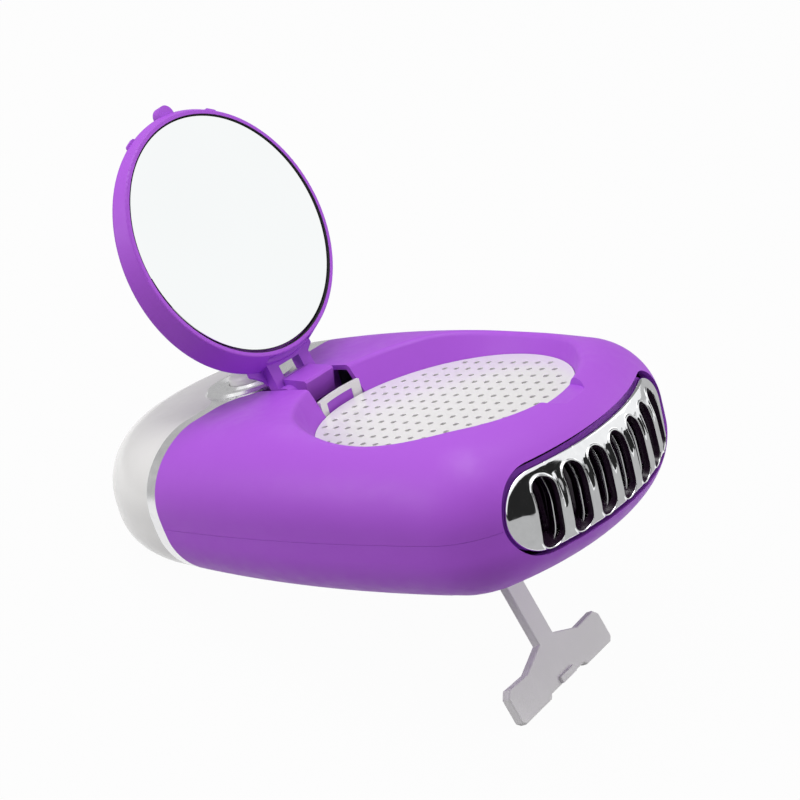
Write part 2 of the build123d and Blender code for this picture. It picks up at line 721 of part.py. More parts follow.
with BuildPart() as catch_pad:
    with BuildSketch(Plane.XY.offset(-0.8)):
        Circle(BRACKET_RADIUS + 0.7)
        Circle(BRACKET_RADIUS + 0.1, mode=Mode.SUBTRACT)
        with Locations((-BRACKET_RADIUS, 0)):
            Rectangle(6, 2 * PAD_HALF_WIDTH, mode=Mode.INTERSECT)
    extrude(amount=PAD_TOP + 0.8)

# Lid: frame, mirror and hinge, drawn in the open pose

open_angle = radians(LID_OPEN_ANGLE)
lid_reach = Vector(cos(open_angle), 0, sin(open_angle))
lid_facing = Vector(sin(open_angle), 0, -cos(open_angle))
mirror_centre = Vector(HINGE_X, 0, HINGE_Z) + lid_reach * MIRROR_OFFSET + lid_facing * MIRROR_DROP
lid_plane = Plane(mirror_centre, x_dir=lid_reach, z_dir=lid_facing)
lid_side = Plane(mirror_centre, x_dir=lid_reach, z_dir=(0, 1, 0))
lid_axis = Axis(mirror_centre, lid_facing)
back_plane = Plane(
    mirror_centre - lid_facing * LID_DEPTH,
    x_dir=lid_reach + lid_facing * LID_BACK_SLOPE,
    z_dir=lid_facing - lid_reach * LID_BACK_SLOPE,
)
mirror_plane = Plane(mirror_centre + lid_reach * MIRROR_SHIFT, x_dir=lid_reach, z_dir=lid_facing)
seat_depth = GLASS_THICKNESS + PAD_THICKNESS

with BuildPart() as lid_frame:
    # round body, drafted like the recess that it shuts into
    with BuildSketch(lid_side):
        Polygon(
            (0, LID_LIP),
            (LID_RADIUS, LID_LIP),
            (LID_RADIUS + LID_DRAFT * (LID_LIP + 8), -8),
            (0, -8),
            align=None,
        )
    revolve(axis=lid_axis)
    # the flat back falls with the crown of the body when the lid is shut
    split(bisect_by=back_plane, keep=Keep.TOP)
    fillet(lid_frame.faces().sort_by(lid_axis)[0].edges(), 0.6)
    fillet(lid_frame.faces().sort_by(lid_axis)[-1].edges(), 0.35)
    # knob at the far edge and the two snap bumps beside it
    with BuildSketch(lid_plane.offset(-1.2)):
        with Locations((KNOB_REACH, 0)):
            Circle(KNOB_RADIUS)
    extrude(amount=-2.4)
    fillet(lid_frame.faces().sort_by(lid_axis).filter_by(lid_plane)[0].edges(), 0.6)
    for turn in (BUMP_ANGLE, -BUMP_ANGLE):
        with BuildSketch(lid_plane.offset(-1.5)):
            with Locations(Rot(0, 0, turn) * Pos(LID_RADIUS + 0.15, 0)):
                RectangleRounded(2.0, 2.6, 0.5)
        extrude(amount=-0.6)
    # arms down to the hinge, with a window between them
    with BuildSketch(lid_plane.offset(-ARM_FRONT)):
        with Locations(((-MIRROR_OFFSET - 22) / 2, 0)):
            Rectangle(MIRROR_OFFSET - 22, 2 * ARM_HALF_WIDTH)
    extrude(amount=ARM_FRONT - ARM_BACK)
    with BuildSketch(lid_plane.offset(-4.35)):
        arm_foot = [(-27.8, 5.6), (-26.7, 6.3), (-25.7, 7.5), (-24.8, 8.9), (-22.0, 8.9)]
        Polygon(*arm_foot, *[(x, -y) for x, y in reversed(arm_foot)], align=None)
    extrude(amount=-0.5)
    with BuildSketch(lid_plane.offset(2)):
        with Locations(((WINDOW_NEAR + WINDOW_FAR) / 2, 0)):
            Rectangle(WINDOW_NEAR - WINDOW_FAR, 2 * WINDOW_HALF_WIDTH)
    extrude(amount=-10, mode=Mode.SUBTRACT)
    with Locations(across(HINGE_X, HINGE_Z)):
        Cylinder(BARREL_RADIUS, 2 * BARREL_HALF_WIDTH)
    # block on the barrel that shuts against the catch pad
    with BuildSketch(Plane.XZ):
        Polygon((-32.4, 6.6), (-27.3, 6.15), (-26.95, 5.7), (-28.0, 1.4), (-30.5, 0.9), (-32.0, 3.0), align=None)
    extrude(amount=BLOCK_HALF_WIDTH, both=True)
    with BuildSketch(lid_plane.offset(-seat_depth)):
        Circle(MIRROR_RADIUS + MIRROR_GAP)
    extrude(amount=seat_depth + LID_LIP + 1, mode=Mode.SUBTRACT)
    # relief in the rim, clear of the tray's bracket when the lid is shut
    with BuildSketch(lid_plane.offset(-1.8)):
        with Locations((-BRACKET_RADIUS, 0)):
            Rectangle(6, 2 * BRACKET_HALF_WIDTH + 0.6)
        Circle(BRACKET_RADIUS - 0.2, mode=Mode.SUBTRACT)
    extrude(amount=1.8 + LID_LIP + 1, mode=Mode.SUBTRACT)
    with Locations(across(HINGE_X, HINGE_Z)):
        Cylinder(LID_PIN_RADIUS + RUNNING_FIT, 20, mode=Mode.SUBTRACT)

with BuildPart() as mirror_glass:
    with BuildSketch(mirror_plane):
        Circle(MIRROR_RADIUS)
    extrude(amount=-GLASS_THICKNESS)
    chamfer(mirror_glass.edges().sort_by(lid_axis)[-1], 0.12)

with BuildPart() as mirror_pad:
    with BuildSketch(mirror_plane.offset(-GLASS_THICKNESS)):
        Circle(MIRROR_RADIUS - 0.6)
    extrude(amount=-PAD_THICKNESS)

lid_pin = pin(LID_PIN_RADIUS, 2 * LID_PIN_HALF_LENGTH, HINGE_X, HINGE_Z)

# Outlet: chrome grille with finger-shaped slots, and the black duct behind it

slot_feet = [SLOT_PITCH * (place - (SLOT_COUNT - 1) / 2) for place in range(SLOT_COUNT)]

with BuildPart() as outlet_grille:
    add(body_form(-0.1))
    add(body_form(GRILLE_THICKNESS), mode=Mode.SUBTRACT)
    add(grille_prism(0, 18, 60), mode=Mode.INTERSECT)
    with BuildSketch(Plane.YZ.offset(15)):
        # each slot leans a little towards the middle at its top
        for foot_y in slot_feet:
            lean = SLOT_FAN * foot_y
            with Locations((foot_y - lean / 2, SLOT_Z)):
                SlotOverall(SLOT_HEIGHT, SLOT_WIDTH, rotation=90 + degrees(asin(lean / SLOT_HEIGHT)))
    extrude(amount=40, mode=Mode.SUBTRACT)

with BuildPart() as grille_skirt:
    add(body_form(GRILLE_THICKNESS))
    add(body_form(WALL + 2.4), mode=Mode.SUBTRACT)
    add(grille_prism(0, 18, 60), mode=Mode.INTERSECT)
    add(grille_prism(-1.0, 10, 70), mode=Mode.SUBTRACT)
outlet_grille.part = outlet_grille.part + grille_skirt.part


def duct_shape(inset):
    """The fan-shaped air passage from the blower out to the grille, drawn in by a distance."""
    with BuildPart() as passage:
        with BuildSketch(Plane.YZ.offset(DUCT_REAR_X - inset * 0.01)):
            with Locations((0, (DUCT_TOP + DUCT_REAR_BOTTOM) / 2)):
                Rectangle(2 * (DUCT_REAR_HALF - inset), DUCT_TOP - DUCT_REAR_BOTTOM - 2 * inset)
        with BuildSketch(Plane.YZ.offset(DUCT_FRONT_X + inset * 0.01)):
            with Locations((0, (DUCT_TOP + DUCT_FRONT_BOTTOM) / 2)):
                Rectangle(2 * (DUCT_FRONT_HALF - inset), DUCT_TOP - DUCT_FRONT_BOTTOM - 2 * inset)
        loft()
    return passage.part


with BuildPart() as outlet_duct:
    add(duct_shape(0))
    add(duct_shape(1.0), mode=Mode.SUBTRACT)
    with BuildSketch(Plane.YZ.offset(DUCT_REAR_X + 5.5)):
        with Locations([(SLOT_PITCH * (place - 2.5), -10) for place in range(SLOT_COUNT - 1)]):
            Rectangle(0.8, 12)
    extrude(amount=14)
    add(duct_shape(0), mode=Mode.INTERSECT)
    add(body_form(WALL + 2.6), mode=Mode.INTERSECT)

# Blower: scroll housing with its cover, fan wheel and motor

with BuildPart() as blower_housing:
    with BuildSketch(Plane.XY.offset(HOUSING_FLOOR - HOUSING_WALL)):
        Circle(HOUSING_RADIUS)
    extrude(amount=HOUSING_TOP - HOUSING_WALL - HOUSING_FLOOR + HOUSING_WALL)
    with BuildSketch(Plane.XY.offset(HOUSING_FLOOR)):
        Circle(HOUSING_RADIUS - HOUSING_WALL)
    extrude(amount=10, mode=Mode.SUBTRACT)
    with Locations((HOUSING_RADIUS, 0, HOUSING_FLOOR + 5)):
        Box(2 * (HOUSING_RADIUS - DUCT_REAR_X), 60, 30, mode=Mode.SUBTRACT)
    with Locations((0, 0, HOUSING_FLOOR)):
        Cylinder(BUSH_RADIUS, 8, mode=Mode.SUBTRACT)

with BuildPart() as blower_cover:
    with BuildSketch(Plane.XY.offset(HOUSING_TOP - HOUSING_WALL)):
        Circle(HOUSING_RADIUS)
        for angle in BLOWER_EARS:
            with Locations(Rot(0, 0, angle) * Pos(EAR_RADIUS - 5.5, 0)):
                SlotOverall(15.4, 2 * EAR_POST_RADIUS)
        with Locations((HOUSING_RADIUS, 0)):
            Rectangle(2 * (HOUSING_RADIUS - DUCT_REAR_X), 60, mode=Mode.SUBTRACT)
        Circle(INLET_RADIUS, mode=Mode.SUBTRACT)
    extrude(amount=HOUSING_WALL)
    with Locations([(x, y, HOUSING_TOP) for x, y in polar_places(EAR_RADIUS, BLOWER_EARS)]):
        Cylinder(SMALL_SCREW_RADIUS + 0.2, 9, mode=Mode.SUBTRACT)

with BuildPart() as blower_screws:
    for x, y in polar_places(EAR_RADIUS, BLOWER_EARS):
        with Locations((x, y, HOUSING_TOP - HOUSING_WALL)):
            Cylinder(1.6, 1.0, align=(Align.CENTER, Align.CENTER, Align.MAX))
            Cylinder(SMALL_SCREW_RADIUS, 5.2, align=(Align.CENTER, Align.CENTER, Align.MIN))

with BuildPart() as impeller:
    with BuildSketch(Plane.XY.offset(IMPELLER_BOTTOM)):
        Circle(IMPELLER_RADIUS)
    extrude(amount=0.9)
    with BuildSketch(Plane.XY.offset(IMPELLER_BOTTOM)):
        Circle(3.6)
    extrude(amount=4.4)
    with BuildSketch(Plane.XY.offset(IMPELLER_BOTTOM + 0.9)):
        with PolarLocations(0, BLADE_COUNT):
            with BuildLine():
                RadiusArc((11.0, 0), (IMPELLER_RADIUS - 0.2, 1.8), 9)
                RadiusArc((11.0, 0.7), (IMPELLER_RADIUS - 0.2, 2.5), 9)
                Line((11.0, 0), (11.0, 0.7))
                Line((IMPELLER_RADIUS - 0.2, 1.8), (IMPELLER_RADIUS - 0.2, 2.5))
            make_face()
    extrude(amount=IMPELLER_TOP - IMPELLER_BOTTOM - 1.5)
    with BuildSketch(Plane.XY.offset(IMPELLER_TOP - 0.6)):
        Circle(IMPELLER_RADIUS)
        Circle(14.6, mode=Mode.SUBTRACT)
    extrude(amount=0.6)
    with Locations((0, 0, IMPELLER_BOTTOM)):
        Cylinder(SHAFT_RADIUS, 12, mode=Mode.SUBTRACT)

with BuildPart() as motor_shaft:
    with Locations((0, 0, MOTOR_BOTTOM + 1)):
        Cylinder(SHAFT_RADIUS, IMPELLER_BOTTOM + 4.9 - MOTOR_BOTTOM - 1, align=(Align.CENTER, Align.CENTER, Align.MIN))

with BuildPart() as motor_can:
    with BuildSketch(Plane.XY.offset(MOTOR_BOTTOM)):
        Circle(MOTOR_RADIUS)
    extrude(amount=HOUSING_FLOOR - HOUSING_WALL - MOTOR_BOTTOM)
    fillet(motor_can.edges(), 0.6)
    with Locations((0, 0, MOTOR_BOTTOM + 0.9)):
        Cylinder(SHAFT_RADIUS + 0.15, 12, align=(Align.CENTER, Align.CENTER, Align.MIN), mode=Mode.SUBTRACT)

with BuildPart() as shaft_bush:
    with BuildSketch(Plane.XY.offset(HOUSING_FLOOR - HOUSING_WALL)):
        Circle(BUSH_RADIUS)
        Circle(SHAFT_RADIUS + RUNNING_FIT, mode=Mode.SUBTRACT)
    extrude(amount=HOUSING_WALL + 0.3)

with BuildPart() as case_screws:
    for x, y in CASE_SCREWS:
        with Locations((x, y, SCREW_SEAT_Z)):
            Cylinder(SCREW_HEAD_RADIUS, 1.5, align=(Align.CENTER, Align.CENTER, Align.MAX))
            Cylinder(SCREW_RADIUS, 10, align=(Align.CENTER, Align.CENTER, Align.MIN))

# Standing pose: the rear edge and the foot on the floor

rear_edge_x = REAR_X + BOTTOM_ROUNDING
underside_slope = atan2(rear_edge_x - UNDERSIDE_X, UNDERSIDE_RADIUS)
rear_edge = (
    rear_edge_x,
    UNDERSIDE_Z + UNDERSIDE_RADIUS - (UNDERSIDE_RADIUS - BOTTOM_ROUNDING) * cos(underside_slope),
)
foot_edge = (
    STAND_X + STAND_LENGTH * cos(slope) + LEG_BACK * sin(slope),
    STAND_Z - STAND_LENGTH * sin(slope) + LEG_BACK * cos(slope),
)
span = hypot(foot_edge[0] - rear_edge[0], foot_edge[1] - rear_edge[1])
nose_up = -direction(rear_edge, foot_edge) - degrees(asin(BOTTOM_ROUNDING / span))
standing = Rot(0, -nose_up, 0)

pieces = {
    "upper_shell": upper_shell,
    "lower_shell": lower_shell,
    "rear_cap": rear_cap,
    "chrome_trim": chrome_trim,
    "power_button": power_button,
    "switch_plunger": switch_plunger,
    "tact_switch": tact_switch,
    "circuit_board": circuit_board,
    "board_chips": board_chips,
    "board_screws": board_screws,
    "usb_socket": usb_socket,
    "battery": battery,
    "battery_tape": battery_tape,
    "intake_plate": intake_plate,
    "intake_tray": intake_tray,
    "catch_pad": catch_pad,
    "lid_frame": lid_frame,
    "mirror_glass": mirror_glass,
    "mirror_pad": mirror_pad,
    "lid_pin": lid_pin,
    "outlet_grille": outlet_grille,
    "outlet_duct": outlet_duct,
    "blower_housing": blower_housing,
    "blower_cover": blower_cover,
    "blower_screws": blower_screws,
    "impeller": impeller,
    "motor_shaft": motor_shaft,
    "motor_can": motor_can,
    "shaft_bush": shaft_bush,
    "stand_leg": stand_leg,
    "stand_pin": stand_pin,
    "case_screws": case_screws,
}

boxes = [piece.part.moved(standing).bounding_box() for piece in pieces.values()]
middle_x = (min(box.min.X for box in boxes) + max(box.max.X for box in boxes)) / 2
floor_z = min(box.min.Z for box in boxes)
standing = Pos(-middle_x, 0, -floor_z) * standing
print("nose up", round(nose_up, 3), "shift", round(-middle_x, 3), round(-floor_z, 3))

for name, piece in pieces.items():
    print(name, piece.part.is_valid, round(piece.part.volume, 1), len(piece.part.solids()))
    piece.part.move(standing)
    piece.part.label = name
    export_step(piece.part, f"parts/{name}.step")
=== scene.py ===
"""Looks of the small hand-held lash fan, standing on its fold-out foot with its mirror lid open.

Shapes are drawn in the body's own axes, in millimetres: X forward to the outlet grille, Y to the left, Z out
of the intake, with the origin at the middle of the intake plate's top. body_axes puts them into the frame.
"""

import json
from math import asin, atan2, cos, hypot, pi, radians, sin, sqrt

import bmesh
import bpy
from mathutils import Matrix, Vector


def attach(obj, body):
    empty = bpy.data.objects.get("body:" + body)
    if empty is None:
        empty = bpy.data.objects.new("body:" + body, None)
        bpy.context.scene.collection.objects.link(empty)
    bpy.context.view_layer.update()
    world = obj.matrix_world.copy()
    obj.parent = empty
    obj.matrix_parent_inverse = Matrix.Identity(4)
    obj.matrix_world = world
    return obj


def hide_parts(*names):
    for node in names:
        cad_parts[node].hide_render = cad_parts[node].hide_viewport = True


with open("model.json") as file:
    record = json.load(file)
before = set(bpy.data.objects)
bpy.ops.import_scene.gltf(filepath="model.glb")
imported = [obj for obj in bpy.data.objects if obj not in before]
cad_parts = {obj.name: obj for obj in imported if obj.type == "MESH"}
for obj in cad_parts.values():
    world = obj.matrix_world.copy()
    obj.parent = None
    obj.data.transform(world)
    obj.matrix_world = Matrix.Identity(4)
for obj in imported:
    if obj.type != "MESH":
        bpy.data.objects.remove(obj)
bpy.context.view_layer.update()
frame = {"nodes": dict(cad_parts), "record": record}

# Standing pose of the body in the frame, from the lid's hinge and the fan's axis

MM = 0.001
HINGE_X = -31.4
HINGE_Z = 3.27

hinge = Vector((HINGE_X, 0, HINGE_Z))
joints = {joint["name"]: joint for joint in frame["record"]["behaviour"]["joints"]}
fan_axis = joints["impeller_spin"]["axis"]
nose_up = atan2(-fan_axis[0], fan_axis[2])
tilt = Matrix.Rotation(-nose_up, 4, "Y")
shift = Vector(joints["lid_hinge"]["pos_m"]) - tilt @ (hinge * MM)
standing = Matrix.Translation(shift) @ tilt
body_axes = standing @ Matrix.Scale(MM, 4)


# Materials: noise sizes are counts per metre, and depths of relief are in metres

NOISE_LOW = 0.35
NOISE_HIGH = 0.65
TINT_LOW = 0.3
TINT_HIGH = 0.7
FLOW_SCALE = 60
GLOSS_SCALE = 420
GRAIN_SCALE = 2600
GRAIN_DEPTH = 0.00006
COAT_ROUGHNESS = 0.12
PEEL_SCALE = 240
PEEL_DEPTH = 0.0001
WEAR_SCALE = 700
WEAR_SPREAD = 0.05
WEAR_SHADE = 0.93
HAZE_SCALE = 30
HAZE_CLEAR = 0.004
HAZE_DULL = 0.02
HAZE_SHADE = 0.985
MARK_STRENGTH = 0.15
MARK_DEPTH = 0.00005
MARK_SMOOTHER = 0.08
MARK_ROUGHER = 0.12
MARK_SHADE = 0.8


def new_material(name, colour, roughness, metallic=0.0):
    """A node material, returned with its tree and its shader."""
    material = bpy.data.materials.new(name)
    material.use_nodes = True
    tree = material.node_tree
    shader = tree.nodes["Principled BSDF"]
    shader.inputs["Base Color"].default_value = (*colour, 1)
    shader.inputs["Roughness"].default_value = roughness
    shader.inputs["Metallic"].default_value = metallic
    return material, tree, shader


def noise(tree, scale, detail):
    """The strength of a noise texture that lies on the object's own coordinates."""
    coordinates = tree.nodes.new("ShaderNodeTexCoord")
    texture = tree.nodes.new("ShaderNodeTexNoise")
    texture.inputs["Scale"].default_value = scale
    texture.inputs["Detail"].default_value = detail
    tree.links.new(coordinates.outputs["Object"], texture.inputs["Vector"])
    return texture.outputs["Fac"]


def vary(tree, source, target, low, high):
    """Drives a socket between two values by a texture."""
    ramp = tree.nodes.new("ShaderNodeMapRange")
    ramp.inputs["From Min"].default_value = NOISE_LOW
    ramp.inputs["From Max"].default_value = NOISE_HIGH
    ramp.inputs["To Min"].default_value = low
    ramp.inputs["To Max"].default_value = high
    tree.links.new(source, ramp.inputs["Value"])
    tree.links.new(ramp.outputs["Result"], target)


def tint(tree, source, shader, first, second):
    """Mixes two colours into the shader's base by a texture."""
    ramp = tree.nodes.new("ShaderNodeValToRGB")
    ramp.color_ramp.elements[0].position = TINT_LOW
    ramp.color_ramp.elements[0].color = (*first, 1)
    ramp.color_ramp.elements[1].position = TINT_HIGH
    ramp.color_ramp.elements[1].color = (*second, 1)
    tree.links.new(source, ramp.inputs["Fac"])
    tree.links.new(ramp.outputs["Color"], shader.inputs["Base Color"])


def bump(tree, source, shader, strength, distance):
    """Fine relief from a texture."""
    node = tree.nodes.new("ShaderNodeBump")
    node.inputs["Strength"].default_value = strength
    node.inputs["Distance"].default_value = distance
    tree.links.new(source, node.inputs["Height"])
    tree.links.new(node.outputs["Normal"], shader.inputs["Normal"])


def shaded(colour, share):
    """A colour at a share of its brightness."""
    return tuple(share * channel for channel in colour)


def moulded(name, colour, darker, roughness, grain, spread=0.05, coat=0.0, shine=0.5):
    """Moulded plastic: faint flow marks in the colour, uneven gloss and a fine grain."""
    material, tree, shader = new_material(name, colour, roughness)
    tint(tree, noise(tree, FLOW_SCALE, detail=3), shader, darker, colour)
    gloss = noise(tree, GLOSS_SCALE, detail=4)
    vary(tree, gloss, shader.inputs["Roughness"], roughness - spread, roughness + spread)
    bump(tree, noise(tree, GRAIN_SCALE, detail=3), shader, grain, GRAIN_DEPTH)
    shader.inputs["Specular IOR Level"].default_value = shine
    shader.inputs["Coat Weight"].default_value = coat
    shader.inputs["Coat Roughness"].default_value = COAT_ROUGHNESS
    return material


def plated(name, colour, roughness, grain):
    """Bright plating over moulded plastic, with a faint orange-peel surface."""
    material, tree, shader = new_material(name, colour, roughness, metallic=1.0)
    bump(tree, noise(tree, PEEL_SCALE, detail=2), shader, grain, PEEL_DEPTH)
    wear = noise(tree, WEAR_SCALE, detail=4)
    vary(tree, wear, shader.inputs["Roughness"], roughness, roughness + WEAR_SPREAD)
    tint(tree, wear, shader, shaded(colour, WEAR_SHADE), colour)
    return material


def silvered(name, colour):
    """Mirror glass: clean silvering under a clear face, with only a trace of haze."""
    material, tree, shader = new_material(name, colour, HAZE_CLEAR, metallic=1.0)
    haze = noise(tree, HAZE_SCALE, detail=1)
    vary(tree, haze, shader.inputs["Roughness"], HAZE_CLEAR, HAZE_DULL)
    tint(tree, haze, shader, shaded(colour, HAZE_SHADE), colour)
    return material


def worked_metal(name, colour, roughness, scale):
    """Plain turned or stamped metal with fine marks."""
    material, tree, shader = new_material(name, colour, roughness, metallic=1.0)
    marks = noise(tree, scale, detail=5)
    vary(tree, marks, shader.inputs["Roughness"], roughness - MARK_SMOOTHER, roughness + MARK_ROUGHER)
    bump(tree, marks, shader, MARK_STRENGTH, MARK_DEPTH)
    tint(tree, marks, shader, shaded(colour, MARK_SHADE), colour)
    return material


PURPLE = (0.395, 0.092, 0.66)
PURPLE_DEEP = (0.383, 0.087, 0.645)
CAP_WHITE = (0.80, 0.79, 0.78)
CAP_WHITE_DEEP = (0.77, 0.76, 0.75)
STAND_GREY = (0.83, 0.82, 0.82)
STAND_GREY_DEEP = (0.80, 0.79, 0.79)
DUCT_BLACK = (0.020, 0.006, 0.022)
DUCT_BLACK_DEEP = (0.016, 0.005, 0.018)
NYLON = (0.62, 0.62, 0.60)
NYLON_DEEP = (0.58, 0.58, 0.56)
FOAM_BLACK = (0.02, 0.02, 0.022)
FOAM_BLACK_DEEP = (0.012, 0.012, 0.014)
BOARD_GREEN = (0.02, 0.12, 0.04)
BOARD_GREEN_DEEP = (0.015, 0.09, 0.03)
WRAP_BLUE = (0.03, 0.09, 0.30)
WRAP_BLUE_DEEP = (0.025, 0.075, 0.26)

materials = {
    "purple_plastic": moulded("purple_plastic", PURPLE, PURPLE_DEEP, roughness=0.46, grain=0.05, shine=0.28),
    "white_plastic": moulded(
        "white_plastic", CAP_WHITE, CAP_WHITE_DEEP, roughness=0.22, grain=0.02, spread=0.03, coat=0.3,
    ),
    "chrome_plate": plated("chrome_plate", (0.88, 0.89, 0.90), roughness=0.04, grain=0.02),
    "satin_chrome": plated("satin_chrome", (0.86, 0.86, 0.87), roughness=0.2, grain=0.02),
    "mirror_face": silvered("mirror_face", (0.93, 0.95, 0.95)),
    "stand_plastic": moulded("stand_plastic", STAND_GREY, STAND_GREY_DEEP, roughness=0.45, grain=0.06),
    "black_plastic": moulded("black_plastic", DUCT_BLACK, DUCT_BLACK_DEEP, roughness=0.3, grain=0.05),
    "white_nylon": moulded("white_nylon", NYLON, NYLON_DEEP, roughness=0.5, grain=0.08),
    "foam": moulded("foam", FOAM_BLACK, FOAM_BLACK_DEEP, roughness=0.9, grain=0.8),
    "steel": worked_metal("steel", (0.55, 0.55, 0.56), roughness=0.3, scale=900),
    "bronze": worked_metal("bronze", (0.50, 0.32, 0.14), roughness=0.45, scale=1500),
    "board_green": moulded("board_green", BOARD_GREEN, BOARD_GREEN_DEEP, roughness=0.35, grain=0.1),
    "cell_wrap": moulded("cell_wrap", WRAP_BLUE, WRAP_BLUE_DEEP, roughness=0.25, grain=0.05),
}


def dress(node, material):
    """Gives one of the solids a material in place of its own."""
    node.data.materials.clear()
    node.data.materials.append(material)


for entry in frame["record"]["subparts"]:
    dress(frame["nodes"][entry["node"]], materials[entry["material_slot"]])
dress(frame["nodes"]["chrome_trim"], materials["satin_chrome"])


# Body outline and cross-section at the front, as the casing has them

FRONT_X = 34.6
FRONT_RADIUS = 48.5
CROWN_X = -21.3
CROWN_Z = 5.4
CROWN_RADIUS = 402.0
UNDERSIDE_X = 11.5
UNDERSIDE_Z = -23.05
UNDERSIDE_RADIUS = 1023.0
TOP_ROUNDING = 13.4
BOTTOM_ROUNDING = 9.2
STEEPEST_LIFT = 0.97
SKIN_PASSES = 4


def front_skin(y, z, proud=0.0):
    """The point of the body's front skin seen square on at (y, z), moved out along the skin's normal."""
    turn_x = FRONT_X - FRONT_RADIUS
    crown_reach = CROWN_RADIUS - TOP_ROUNDING
    underside_reach = UNDERSIDE_RADIUS - BOTTOM_ROUNDING
    angle = asin(y / FRONT_RADIUS)
    inset = 0.0
    lift = 0.0
    for _ in range(SKIN_PASSES):
        upper_x = turn_x + (FRONT_RADIUS - TOP_ROUNDING) * cos(angle)
        lower_x = turn_x + (FRONT_RADIUS - BOTTOM_ROUNDING) * cos(angle)
        upper_z = CROWN_Z - CROWN_RADIUS + sqrt(crown_reach**2 - (upper_x - CROWN_X) ** 2)
        lower_z = UNDERSIDE_Z + UNDERSIDE_RADIUS - sqrt(underside_reach**2 - (lower_x - UNDERSIDE_X) ** 2)
        if z > upper_z:
            lift = min((z - upper_z) / TOP_ROUNDING, STEEPEST_LIFT)
            inset = TOP_ROUNDING * (1 - sqrt(1 - lift**2))
        elif z < lower_z:
            lift = max((z - lower_z) / BOTTOM_ROUNDING, -STEEPEST_LIFT)
            inset = BOTTOM_ROUNDING * (1 - sqrt(1 - lift**2))
        angle = asin(y / (FRONT_RADIUS - inset))
    reach = FRONT_RADIUS - inset + proud * sqrt(1 - lift**2)
    return (turn_x + reach * cos(angle), reach * sin(angle), z + proud * lift)


def add_object(name, data):
    """A new object in the scene."""
    added = bpy.data.objects.new(name, data)
    bpy.context.scene.collection.objects.link(added)
    return added


def new_piece(name, source, body, slot, smooth=True):
    """A piece of the fan made from a bmesh drawn in the body's own axes, in its slot's material."""
    mesh = bpy.data.meshes.new(name)
    bmesh.ops.recalc_face_normals(source, faces=source.faces)
    source.to_mesh(mesh)
    source.free()
    mesh.transform(body_axes)
    mesh.polygons.foreach_set("use_smooth", [smooth] * len(mesh.polygons))
    mesh.materials.append(materials[slot])
    piece = add_object(name, mesh)
    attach(piece, body)
    return piece


def join_rings(source, rings, closed=True):
    """Faces between each ring of points and the next, and from the last to the first in a closed band."""
    followers = rings[1:] + rings[:1] if closed else rings[1:]
    for ring, after in zip(rings, followers):
        for place in range(len(ring)):
            beside = (place + 1) % len(ring)
            source.faces.new((ring[place], ring[beside], after[beside], after[place]))


# Black band round the mirror, lining the wall of the lid's seat: painted shade for the shadowed gap between
# the glass and the lid's ring

MIRROR_OFFSET = -HINGE_X
MIRROR_DROP = 2.07
SEAT_RADIUS = 22.85
SHADE_BAND_FIT = 0.01
SHADE_BAND_THICKNESS = 0.1
SHADE_BAND_TOP = 0.24
SHADE_BAND_FOOT = -1.2
SHADE_BAND_STEPS = 180

lid_open = radians(joints["lid_hinge"]["range_deg"][1])
lid_reach = Vector((cos(lid_open), 0, sin(lid_open)))
lid_facing = Vector((sin(lid_open), 0, -cos(lid_open)))
mirror_centre = hinge + lid_reach * MIRROR_OFFSET + lid_facing * MIRROR_DROP


def shade_band_piece():
    """A thin upright black band round the mirror's edge: painted shade for the gap."""
    shade_band = bmesh.new()
    outside = SEAT_RADIUS - SHADE_BAND_FIT
    inside = SEAT_RADIUS - SHADE_BAND_THICKNESS
    section = [(outside, SHADE_BAND_FOOT), (outside, SHADE_BAND_TOP), (inside, SHADE_BAND_TOP), (inside, SHADE_BAND_FOOT)]
    rings = []
    for step in range(SHADE_BAND_STEPS):
        angle = 2 * pi * step / SHADE_BAND_STEPS
        outward = lid_reach * cos(angle) + Vector((0, 1, 0)) * sin(angle)
        rings.append([
            shade_band.verts.new(mirror_centre + outward * radius + lid_facing * rise)
            for radius, rise in section
        ])
    join_rings(shade_band, rings)
    return shade_band


# The band takes the black foam material as painted shade in the gap round the glass.
new_piece("mirror_shade_band", shade_band_piece(), "lid", "foam", smooth=False)


# Outlet grille: a chromed sheet round the front, with a raised lip round each slot, a groove between them,
# and black slot walls of painted shade

GRILLE_Z = -10.2
GRILLE_HALF_WIDTH = 25.3
GRILLE_HALF_HEIGHT = 7.2
GRILLE_SPAN = GRILLE_HALF_WIDTH - GRILLE_HALF_HEIGHT
GRILLE_LOW = GRILLE_Z - GRILLE_HALF_HEIGHT
GRILLE_HIGH = GRILLE_Z + GRILLE_HALF_HEIGHT
GRILLE_PROUD = -0.33
GRILLE_SHEET = 1.55
GRILLE_EDGE = 0.55
SLOT_COUNT = 7
SLOT_PITCH = 6.2
SLOT_Z = -10.8
SLOT_HALF_WIDTH = 2.05
SLOT_HALF_HEIGHT = 6.0
SLOT_SPAN = SLOT_HALF_HEIGHT - SLOT_HALF_WIDTH
SLOT_FAN = 0.05
# Material index of the slots' walls: black plastic, painted shade for the dark inside of each slot
SLOT_WALL_SHADE = 1
LIP_CREST = 0.11
LIP_FOOT = 0.4
LIP_HEIGHT = 0.18
GROOVE_DEPTH = 0.9
GROOVE_TOP = -5.0
GROOVE_DEEPEST = -7.6
GROOVE_FOOT = -11.6
GROOVE_FADE = 1.0
GROOVE_START = 0.3
GROOVE_BLEND = 0.25
GROOVE_END = SLOT_PITCH / 2 - SLOT_HALF_WIDTH + GROOVE_BLEND
SKIRT_WIDTH = 0.9
SKIRT_DEPTH = 4.0
VANE_SHIFT = 1.0
VANE_BOW = 0.35
VANE_HALF_THICKNESS = 0.24
VANE_FRONT = 1.5
VANE_BACK = 3.4
VANE_OVERLAP = 0.3

# How finely the grille is drawn: steps along its outlines, and rings from a slot out to its cell's border

